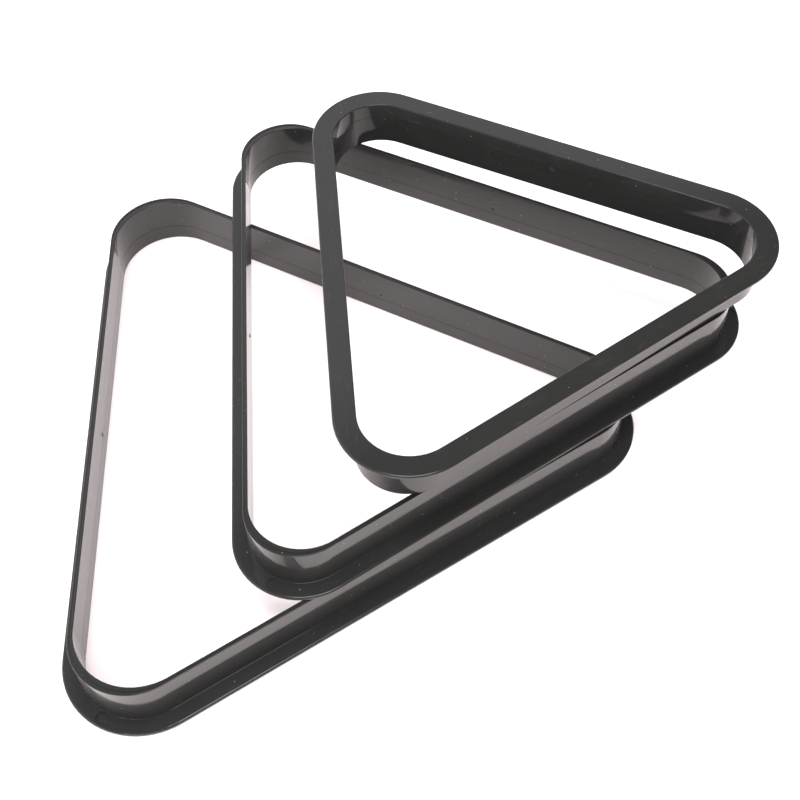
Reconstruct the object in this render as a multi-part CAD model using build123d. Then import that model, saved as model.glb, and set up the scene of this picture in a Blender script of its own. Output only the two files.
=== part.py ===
from build123d import *
import os
from dataclasses import dataclass
from math import sqrt

# A stack of three black plastic triangle racks, in graded sizes. Each rack sets out fifteen balls
# of its own size, and is one moulding with an L section: a thin upright wall, thicker at its
# corners, stands round the balls, and a wide flange runs round the outside of one of the wall's
# edges. The two lower racks lie on their flanges and the top one lies upside down. Each rests on
# the rim of the rack below.
# Millimetres, +Z up. +X points to the large rack's right-hand corner. The origin is under the
# middle of the whole stack, on the surface that the stack lies on.


@dataclass
class Rack:
    """One moulding's own dimensions, and how it lies over the large rack."""

    ball: float                    # diameter of the balls that it holds
    play: float                    # room left round the racked balls, at the middle of each side
    height: float
    corner_radius: float           # of the wall's inner face
    flange_reach: float            # from the wall's inner face to the flange's edge
    flange_corner_radius: float
    middle: tuple = (0, 0)         # of its balls, from the middle of the large rack's balls
    turn: float = 0                # degrees anticlockwise, seen from above
    flange_up: bool = False


# Driving dimensions. The balls are 2 1/4, 2 1/16 and 1 3/4 inch ones. The racks are stacked from
# the first to the last.
RACKS = {
    "large_rack": Rack(
        ball=57.15, play=1.5, height=28.0, corner_radius=29.0, flange_reach=10.4, flange_corner_radius=38.0
    ),
    "medium_rack": Rack(
        ball=52.4, play=1.4, height=26.5, corner_radius=25.0, flange_reach=10.2, flange_corner_radius=33.0,
        middle=(68.95, 39.7), turn=1.5,
    ),
    "small_rack": Rack(
        ball=44.45, play=1.95, height=25.5, corner_radius=24.0, flange_reach=11.0, flange_corner_radius=34.6,
        middle=(106.25, 48.1), turn=2.3, flange_up=True,
    ),
}
STACK_GAP = 0.05                   # between a rack and the one that it rests on

BALLS_ON_A_SIDE = 5
SIDES = (60, 180, 300)             # the way each side faces, in degrees from +X
CORNERS = (0, 120, 240)            # the way each corner points

# The L section, which all three racks share
WALL = 2.4                         # thickness at the sides
CORNER_GROWTH = 0.15               # of the wall's corner radius, for each millimetre outwards from its
                                   # inner face. At 1 the wall would be no thicker at its corners.
FLANGE = 2.4                       # thickness
ROOT_RADIUS = 0.25                 # where the wall's outer face meets the flange
FLANGE_EDGE = 1.0                  # radius of both edges of the flange, which is nearly a full round
MOUTH_EDGE = 0.5                   # radius of the wall's inner face where it meets the flange's flat face
RIM_EDGE = 0.35                    # radius of both edges of the wall's rim
GROOVE_PLACE = 1.4                 # of the fine groove along the rim, from the inner face to its middle
GROOVE_WIDTH = 0.4
GROOVE_DEPTH = 0.3

# Marks that the mould leaves
SEAM_HEIGHT = 1 / 3                # of the wall's height: a fine groove round the inner face
SEAM_WIDTH = 0.25
SEAM_DEPTH = 0.08
GATE_HEIGHT = 0.42                 # of the wall's height: a pip at the middle of each inner side
GATE_RADIUS = 0.9
GATE_PROUD = 0.25
PIN_RADIUS = 3.1                   # the round mark of an ejector pin at each corner of the flange
PIN_DEPTH = 0.6


def inradius(rack):
    """From the rack's middle to the wall's inner face: to the outer balls' centres, then past them."""
    to_ball_centres = (BALLS_ON_A_SIDE - 1) * rack.ball / (2 * sqrt(3))
    return to_ball_centres + rack.ball / 2 + rack.play


def outline(reach, corner_radius):
    """A triangle with rounded corners, one of which points to +X. Its sides are reach from its middle."""
    triangle = RegularPolygon(reach, 3, major_radius=False)
    return fillet(triangle.vertices(), corner_radius)


def corner_tip(reach, corner_radius):
    """How far the rounded corner of such an outline is from its middle."""
    return 2 * reach - corner_radius


def wall_corner(rack, offset):
    """The corner radius of the wall, where its sides are offset outwards from its inner face."""
    return rack.corner_radius + CORNER_GROWTH * offset


def slab(rack, offset, low, high):
    """The rack's inside with its sides moved outwards by offset, from one height to the other."""
    profile = outline(inradius(rack) + offset, wall_corner(rack, offset))
    return Pos(0, 0, low) * extrude(profile, high - low)


def flat_face(solid, height):
    """The flat ring of the moulding that lies at a height."""
    return min(solid.faces().filter_by(Axis.Z), key=lambda face: abs(face.center().Z - height))


def ring(rack, inner, outer, low, high):
    """What lies between two offsets from the rack's inside, from one height to the other."""
    return slab(rack, outer, low, high) - slab(rack, inner, low, high)


def l_section(rack):
    """Flange and wall, with all their edges still sharp."""
    flange_outline = outline(inradius(rack) + rack.flange_reach, rack.flange_corner_radius)
    flange = extrude(flange_outline, FLANGE) - slab(rack, 0, 0, FLANGE)
    return flange + ring(rack, 0, WALL, 0, rack.height)


def round_edges(solid, rack):
    """Rounds the wall's root, then both edges of the flange, the wall's mouth and its rim."""
    solid = fillet(flat_face(solid, FLANGE).inner_wires().edges(), ROOT_RADIUS)
    solid = fillet(flat_face(solid, FLANGE).outer_wire().edges(), FLANGE_EDGE)
    solid = fillet(flat_face(solid, 0).outer_wire().edges(), FLANGE_EDGE)
    solid = fillet(flat_face(solid, 0).inner_wires().edges(), MOUTH_EDGE)
    return fillet(flat_face(solid, rack.height).edges(), RIM_EDGE)


def seam(rack):
    """The groove round the wall's inner face."""
    middle = rack.height * SEAM_HEIGHT
    return ring(rack, -SEAM_DEPTH, SEAM_DEPTH, middle - SEAM_WIDTH / 2, middle + SEAM_WIDTH / 2)


def rim_groove(rack):
    """The groove along the wall's rim."""
    inner = GROOVE_PLACE - GROOVE_WIDTH / 2
    outer = GROOVE_PLACE + GROOVE_WIDTH / 2
    return ring(rack, inner, outer, rack.height - GROOVE_DEPTH, rack.height)


def gate_pip(rack, angle):
    """What is left of the plastic's way in, on the wall's inner face at the middle of a side."""
    pip = Cylinder(GATE_RADIUS, GATE_PROUD + WALL / 2, align=(Align.CENTER, Align.CENTER, Align.MIN))
    tip = Pos(inradius(rack) - GATE_PROUD, 0, rack.height * GATE_HEIGHT)
    return Rot(0, 0, angle) * tip * Rot(0, 90, 0) * pip


def pin_mark(rack, angle):
    """The round sink of an ejector pin, midway across the flange at a corner."""
    root = corner_tip(inradius(rack) + WALL, wall_corner(rack, WALL)) + ROOT_RADIUS
    edge = corner_tip(inradius(rack) + rack.flange_reach, rack.flange_corner_radius) - FLANGE_EDGE
    sink = Cylinder(PIN_RADIUS, 2 * PIN_DEPTH)
    return Rot(0, 0, angle) * Pos((root + edge) / 2, 0, FLANGE) * sink


def moulding(rack):
    """A whole rack about its own middle, lying on its flange."""
    solid = round_edges(l_section(rack), rack)
    solid -= seam(rack)
    solid -= rim_groove(rack)
    for angle in SIDES:
        solid += gate_pip(rack, angle)
    for angle in CORNERS:
        solid -= pin_mark(rack, angle)
    return solid


def laid_down(rack, level):
    """The rack turned, moved and, where it lies on its rim, upside down, with its lowest face at level."""
    solid = moulding(rack)
    if rack.flange_up:
        solid = Pos(0, 0, rack.height) * Rot(180, 0, 0) * solid
    return Pos(*rack.middle, level) * Rot(0, 0, rack.turn) * solid


def stack():
    """Every rack in its place, by name, over the middle of the large rack's balls."""
    placed = {}
    level = 0
    for name, rack in RACKS.items():
        placed[name] = laid_down(rack, level)
        level += rack.height + STACK_GAP
    return placed


placed = stack()
middle = Compound(list(placed.values())).bounding_box().center()
os.makedirs("parts", exist_ok=True)
for name, solid in placed.items():
    export_step(Pos(-middle.X, -middle.Y, 0) * solid, f"parts/{name}.step")
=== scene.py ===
"""The looks of a stack of three black plastic triangle racks, on a pale studio floor."""
import cmath
from math import radians

import bpy
from mathutils import Matrix, Vector


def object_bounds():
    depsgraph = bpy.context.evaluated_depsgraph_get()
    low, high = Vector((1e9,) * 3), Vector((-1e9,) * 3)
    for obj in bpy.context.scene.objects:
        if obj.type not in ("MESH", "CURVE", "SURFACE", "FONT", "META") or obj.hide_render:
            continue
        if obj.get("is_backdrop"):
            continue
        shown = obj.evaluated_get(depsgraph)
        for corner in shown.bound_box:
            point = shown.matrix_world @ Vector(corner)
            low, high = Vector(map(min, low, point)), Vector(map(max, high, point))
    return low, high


MM = 0.001

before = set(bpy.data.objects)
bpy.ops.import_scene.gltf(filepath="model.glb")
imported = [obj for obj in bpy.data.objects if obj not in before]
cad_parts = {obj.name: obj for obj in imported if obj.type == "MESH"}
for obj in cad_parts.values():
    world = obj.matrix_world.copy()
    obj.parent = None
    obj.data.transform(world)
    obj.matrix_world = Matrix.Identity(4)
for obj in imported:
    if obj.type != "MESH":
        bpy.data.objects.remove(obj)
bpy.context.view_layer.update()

# The camera stands in front of the stack and looks down on it
VIEW_TURN = -1.31            # degrees clockwise from looking straight along +Y
VIEW_DOWN = 54.1             # degrees below the horizon
VIEW_ROLL = -1.73            # degrees
VIEW_DISTANCE = 0.6377
VIEW_AIM = Vector((-0.0141, -0.0217, 0.0))    # from the middle of the stack
LENS = 58.92                 # mm, on a sensor 36 mm wide
SENSOR = 36.0

# The surroundings: an even white backdrop, but what the plastic mirrors is pale walls below a dim
# ceiling. The walls reach highest at the back left, as what counts for the height of a direction
# there is its dot product with WALLS_END.
BACKDROP_BRIGHTNESS = 1.18
WALLS_END = (0.6, -0.4, 1)
WALL_TOP = 0.57
WALL_FADE = 0.05             # half of the change from wall to ceiling
WALL_BRIGHTNESS = 0.9
CEILING_BRIGHTNESS = 0.05
WHITE = (1, 1, 1, 1)

FLOOR_COLOUR = (0.97, 0.87, 0.88, 1)
FLOOR_ROUGHNESS = 0.9
FLOOR_SIZE = 8
FLOOR_LEVEL = -0.2 * MM      # a little below the stack, so that the two surfaces don't meet

# The plastic
BLACK = (0.0155, 0.0156, 0.0151, 1)
IOR = 1.5
GLOSS = 0.8                  # share of the sheen that is sharp, from the coat
HAZE = 0.12                  # strength of the wide sheen under it, where 0.5 is that of bare plastic
HAZE_ROUGHNESS = 0.45
GLOSS_ROUGHNESS = 0.045      # of the coat where it is clean
SIDES = (60, 180, 300)       # the way each side of a rack faces, in degrees from its own +X

# Its marks. A roughness here is what the mark adds to the coat's.
SCRATCH_COLOUR = (0.029, 0.029, 0.028, 1)
SCRATCH_ROUGHNESS = 0.15
SCRATCH_DEPTH = 0.004 * MM
SCRATCHED_PATCH = 18 * MM    # size of the patches that scratches come in
DUST_COLOUR = (0.13, 0.125, 0.12, 1)
DUST_ROUGHNESS = 0.5
DUST_SPACING = 3 * MM
DUSTY_SHARE = 0.2            # of the cells of that size, which hold a speck each
SPECK_SIZE = 0.05            # radius of the smallest speck, as a share of the spacing
SPECK_GROWTH = 0.06          # what the largest speck has over that
GATE_HEIGHT = 0.42           # of a rack's height, from its flange
BLUSH_RADIUS = 4.5 * MM      # of the dull patch round a gate
BLUSH_ROUGHNESS = 0.35
BLUSH_RAGGEDNESS = 4 * MM    # how far its edge wanders
BLUSH_GRAIN = 3 * MM
BLUSH_SEED = 7
SMUDGE = 22 * MM             # size of a smudge
SMUDGE_ROUGHNESS = 0.05
DRAWN_WIDTH = 1.5 * MM       # of the faint streaks that the mould draws along the sides
DRAWN_LENGTH = 70 * MM
DRAWN_ROUGHNESS = 0.03
WAVE = 35 * MM               # size of the shallow waves that the plastic cools into
WAVE_DEPTH = 0.12 * MM
SKIN_GRAIN = 1.6 * MM
SKIN_DEPTH = 0.0006 * MM
SEED_STEP = 100              # between one rack's patterns and the next's

# A mix node's sockets, which share their names: both inputs, then the output
MIX_SOCKETS = {"FLOAT": (2, 3, 0), "VECTOR": (4, 5, 1), "RGBA": (6, 7, 2)}


def camera():
    """The scene's camera, aimed beside the middle of the stack."""
    lens = bpy.data.cameras.new("camera")
    lens.lens = LENS
    lens.sensor_width = SENSOR
    eye = bpy.data.objects.new("camera", lens)
    bpy.context.scene.collection.objects.link(eye)
    low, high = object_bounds()
    aim = (low + high) / 2 + VIEW_AIM
    turn = Matrix.Rotation(radians(VIEW_TURN), 3, "Z")
    tilt = Matrix.Rotation(radians(90 - VIEW_DOWN), 3, "X")
    roll = Matrix.Rotation(radians(VIEW_ROLL), 3, "Z")
    pose = turn @ tilt @ roll
    eye.matrix_world = Matrix.Translation(aim + pose @ Vector((0, 0, VIEW_DISTANCE))) @ pose.to_4x4()
    bpy.context.scene.camera = eye


def area_light(name, place, size, power, mirrored=False):
    """A square soft light that points at the origin. The plastic mirrors it only if mirrored is set."""
    light = bpy.data.lights.new(name, "AREA")
    light.shape = "SQUARE"
    light.size = size
    light.energy = power
    lamp = bpy.data.objects.new(name, light)
    bpy.context.scene.collection.objects.link(lamp)
    lamp.location = place
    lamp.rotation_euler = (-Vector(place)).to_track_quat("-Z", "Y").to_euler()
    lamp.visible_glossy = mirrored


def node(tree, kind, inputs, **settings):
    """Adds a node with its settings, and gives its inputs their values or links them to other nodes."""
    made = tree.nodes.new(kind)
    for name, value in settings.items():
        setattr(made, name, value)
    for socket, value in inputs.items():
        if isinstance(value, bpy.types.NodeSocket):
            tree.links.new(value, made.inputs[socket])
        else:
            made.inputs[socket].default_value = value
    return made


def maths(tree, operation, *values):
    """The result of a sum on values or other nodes' results."""
    return node(tree, "ShaderNodeMath", dict(enumerate(values)), operation=operation).outputs[0]


def mix(tree, kind, share, first, second):
    """Goes from the first number, vector or colour to the second while the share goes from 0 to 1."""
    start, end, result = MIX_SOCKETS[kind]
    return node(tree, "ShaderNodeMix", {0: share, start: first, end: second}, data_type=kind).outputs[result]


def ramp(tree, value, low, high, start=0.0, end=1.0):
    """A smooth change from start to end while the value goes from low to high."""
    inputs = {"Value": value, "From Min": low, "From Max": high, "To Min": start, "To Max": end}
    return node(tree, "ShaderNodeMapRange", inputs, interpolation_type="SMOOTHSTEP").outputs["Result"]


def surroundings():
    """The white backdrop, and the pale walls and dim ceiling that the plastic mirrors."""
    world = bpy.data.worlds.new("surroundings")
    world.use_nodes = True
    tree = world.node_tree
    way = node(tree, "ShaderNodeTexCoord", {}).outputs["Generated"]
    inputs = {0: way, 1: WALLS_END}
    height = node(tree, "ShaderNodeVectorMath", inputs, operation="DOT_PRODUCT").outputs["Value"]
    brightness = ramp(
        tree, height, WALL_TOP - WALL_FADE, WALL_TOP + WALL_FADE, WALL_BRIGHTNESS, CEILING_BRIGHTNESS
    )
    mirrored = node(tree, "ShaderNodeLightPath", {}).outputs["Is Glossy Ray"]
    strength = mix(tree, "FLOAT", mirrored, BACKDROP_BRIGHTNESS, brightness)
    tree.links.new(strength, tree.nodes["Background"].inputs["Strength"])
    tree.nodes["Background"].inputs["Color"].default_value = WHITE
    bpy.context.scene.world = world


def pale_floor():
    """The plain floor under the stack."""
    bpy.ops.mesh.primitive_plane_add(size=FLOOR_SIZE, location=(0, 0, FLOOR_LEVEL))
    floor = bpy.context.object
    floor.name = "floor"
    paint = bpy.data.materials.new("floor")
    paint.use_nodes = True
    shader = paint.node_tree.nodes["Principled BSDF"]
    shader.inputs["Base Color"].default_value = FLOOR_COLOUR
    shader.inputs["Roughness"].default_value = FLOOR_ROUGHNESS
    floor.data.materials.append(paint)
    floor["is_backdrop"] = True


def studio():
    """The surroundings, large soft lights round the stack and above it, and the floor."""
    surroundings()
    area_light("front_light", place=(-0.3, -1.6, 1.0), size=1.8, power=32)
    area_light("left_light", place=(-1.4, 0.5, 1.2), size=1.8, power=16)
    area_light("top_light", place=(0, -0.25, 1.9), size=0.8, power=22, mirrored=True)
    pale_floor()
    bpy.context.scene.view_settings.view_transform = "Standard"


def middle_and_turn(rack):
    """Where a rack's middle is, and how far it is turned, from the shape of its surface."""
    area = 0.0
    middle = Vector((0, 0, 0))
    for face in rack.data.polygons:
        area += face.area
        middle += face.area * face.center
    middle /= area
    corners = 0j
    for face in rack.data.polygons:
        place = face.center - middle
        corners += face.area * complex(place.x, place.y) ** 3
    return middle, cmath.phase(corners) / 3


def along_the_side(tree, rack):
    """The distances outwards, along the nearest side and upwards from the rack's middle."""
    middle, turn = middle_and_turn(rack)
    place = node(tree, "ShaderNodeTexCoord", {}).outputs["Object"]
    nearest = None
    for side in SIDES:
        inputs = {"Vector": place, "Location": middle, "Rotation": (0, 0, turn + radians(side))}
        view = node(tree, "ShaderNodeMapping", inputs, vector_type="TEXTURE").outputs["Vector"]
        outwards = node(tree, "ShaderNodeSeparateXYZ", {"Vector": view}).outputs["X"]
        if nearest is None:
            nearest = view
            furthest = outwards
            continue
        closer = maths(tree, "GREATER_THAN", outwards, furthest)
        furthest = maths(tree, "MAXIMUM", outwards, furthest)
        nearest = mix(tree, "VECTOR", closer, nearest, view)
    return nearest


def stretched(tree, place, across, along):
    """The place in a pattern whose grains are across wide and thick, and along long."""
    scale = (1 / across, 1 / along, 1 / across)
    return node(tree, "ShaderNodeMapping", {"Vector": place, "Scale": scale}).outputs["Vector"]


def noise(tree, place, size, detail, seed):
    """Soft noise with lumps of a size, between 0 and 1."""
    inputs = {"Vector": place, "W": seed, "Scale": 1 / size, "Detail": detail}
    return node(tree, "ShaderNodeTexNoise", inputs, noise_dimensions="4D").outputs[0]


def scratches(tree, sides, across, along, width, seed):
    """Hairlines along the sides: 1 on a line, and 0 elsewhere. They follow the middle of a noise."""
    pattern = noise(tree, stretched(tree, sides, across, along), size=1, detail=1, seed=seed)
    from_middle = maths(tree, "ABSOLUTE", maths(tree, "SUBTRACT", pattern, 0.5))
    line = ramp(tree, from_middle, low=0, high=width, start=1, end=0)
    patches = ramp(tree, noise(tree, sides, SCRATCHED_PATCH, detail=2, seed=seed + 1), low=0.5, high=0.65)
    return maths(tree, "MULTIPLY", line, patches)


def dust(tree, place, seed):
    """Specks in a share of the cells of a grid: 1 on a speck, and 0 elsewhere."""
    shifted = node(tree, "ShaderNodeMapping", {"Vector": place, "Location": (seed, 0, 0)}).outputs[0]
    cells = node(tree, "ShaderNodeTexVoronoi", {"Vector": shifted, "Scale": 1 / DUST_SPACING})
    pick = node(tree, "ShaderNodeSeparateColor", {"Color": cells.outputs["Color"]})
    chosen = maths(tree, "LESS_THAN", pick.outputs["Red"], DUSTY_SHARE)
    size = maths(tree, "MULTIPLY_ADD", pick.outputs["Green"], SPECK_GROWTH, SPECK_SIZE)
    speck = maths(tree, "LESS_THAN", cells.outputs["Distance"], size)
    return maths(tree, "MULTIPLY", chosen, speck)


def inner_face(tree, rack):
    """1 where the surface faces the rack's middle, and 0 where it faces outwards."""
    surface = node(tree, "ShaderNodeTexCoord", {})
    inputs = {0: surface.outputs["Object"], 1: middle_and_turn(rack)[0]}
    outwards = node(tree, "ShaderNodeVectorMath", inputs, operation="SUBTRACT").outputs[0]
    inputs = {0: surface.outputs["Normal"], 1: outwards}
    facing = node(tree, "ShaderNodeVectorMath", inputs, operation="DOT_PRODUCT").outputs["Value"]
    return maths(tree, "LESS_THAN", facing, 0)


def gate_above_middle(rack):
    """How far a rack's gates are above its middle, which is on the flange's side of half its height."""
    heights = [corner[2] for corner in rack.bound_box]
    low, high = min(heights), max(heights)
    middle = middle_and_turn(rack)[0].z
    gate = low + GATE_HEIGHT * (high - low)
    if middle > (low + high) / 2:
        gate = high - GATE_HEIGHT * (high - low)
    return gate - middle


def gate_blush(tree, sides, rack):
    """The dull patch round each gate, halfway along an inner side: 1 at its middle, 0 outside it."""
    split = node(tree, "ShaderNodeSeparateXYZ", {"Vector": sides})
    above = maths(tree, "SUBTRACT", split.outputs["Z"], gate_above_middle(rack))
    away = node(tree, "ShaderNodeCombineXYZ", {"X": split.outputs["Y"], "Y": above})
    distance = node(tree, "ShaderNodeVectorMath", {0: away.outputs[0]}, operation="LENGTH").outputs["Value"]
    wander = noise(tree, sides, BLUSH_GRAIN, detail=3, seed=BLUSH_SEED)
    ragged = maths(tree, "MULTIPLY_ADD", wander, BLUSH_RAGGEDNESS, distance)
    patch = ramp(tree, ragged, low=BLUSH_RADIUS / 2, high=BLUSH_RADIUS, start=1, end=0)
    return maths(tree, "MULTIPLY", patch, inner_face(tree, rack))


def relief(tree, layers):
    """The surface's direction under bumps: each layer is a pattern, its depth and whether it is cut in."""
    inputs = {}
    for pattern, depth, cut_in in layers:
        inputs["Height"] = pattern
        inputs["Distance"] = depth
        inputs["Normal"] = node(tree, "ShaderNodeBump", inputs, invert=cut_in).outputs[0]
    return inputs["Normal"]


def plastic(rack, seed):
    """Black glossy moulded plastic, with handling marks along the sides, smudges and a little dust."""
    material = bpy.data.materials.new(rack.name + "_plastic")
    material.use_nodes = True
    tree = material.node_tree
    shader = tree.nodes["Principled BSDF"]
    shader.inputs["IOR"].default_value = IOR
    shader.inputs["Specular IOR Level"].default_value = HAZE
    shader.inputs["Roughness"].default_value = HAZE_ROUGHNESS
    shader.inputs["Coat Weight"].default_value = GLOSS
    shader.inputs["Coat IOR"].default_value = IOR

    sides = along_the_side(tree, rack)
    place = node(tree, "ShaderNodeTexCoord", {}).outputs["Object"]
    fine = scratches(tree, sides, across=0.9 * MM, along=40 * MM, width=0.02, seed=seed)
    coarse = scratches(tree, sides, across=2.5 * MM, along=25 * MM, width=0.008, seed=seed + 10)
    marks = maths(tree, "MAXIMUM", fine, coarse)
    specks = dust(tree, place, seed)
    blush = gate_blush(tree, sides, rack)
    smudges = ramp(tree, noise(tree, place, SMUDGE, detail=4, seed=seed + 20), low=0.42, high=0.7)
    streaks = noise(tree, stretched(tree, sides, DRAWN_WIDTH, DRAWN_LENGTH), size=1, detail=2, seed=seed + 30)
    drawn = ramp(tree, streaks, low=0.35, high=0.75)

    marked = mix(tree, "RGBA", marks, BLACK, SCRATCH_COLOUR)
    tree.links.new(mix(tree, "RGBA", specks, marked, DUST_COLOUR), shader.inputs["Base Color"])

    rough = GLOSS_ROUGHNESS
    for pattern, added in (
        (smudges, SMUDGE_ROUGHNESS),
        (drawn, DRAWN_ROUGHNESS),
        (marks, SCRATCH_ROUGHNESS),
        (blush, BLUSH_ROUGHNESS),
        (specks, DUST_ROUGHNESS),
    ):
        rough = maths(tree, "MULTIPLY_ADD", pattern, added, rough)
    tree.links.new(rough, shader.inputs["Coat Roughness"])

    waves = noise(tree, place, WAVE, detail=1, seed=seed + 40)
    skin = noise(tree, place, SKIN_GRAIN, detail=1, seed=seed + 50)
    layers = ((waves, WAVE_DEPTH, False), (skin, SKIN_DEPTH, False), (marks, SCRATCH_DEPTH, True))
    normal = relief(tree, layers)
    tree.links.new(normal, shader.inputs["Normal"])
    tree.links.new(normal, shader.inputs["Coat Normal"])
    return material


camera()
studio()
for number, rack in enumerate(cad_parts.values()):
    rack.data.materials.clear()
    rack.data.materials.append(plastic(rack, SEED_STEP * number))
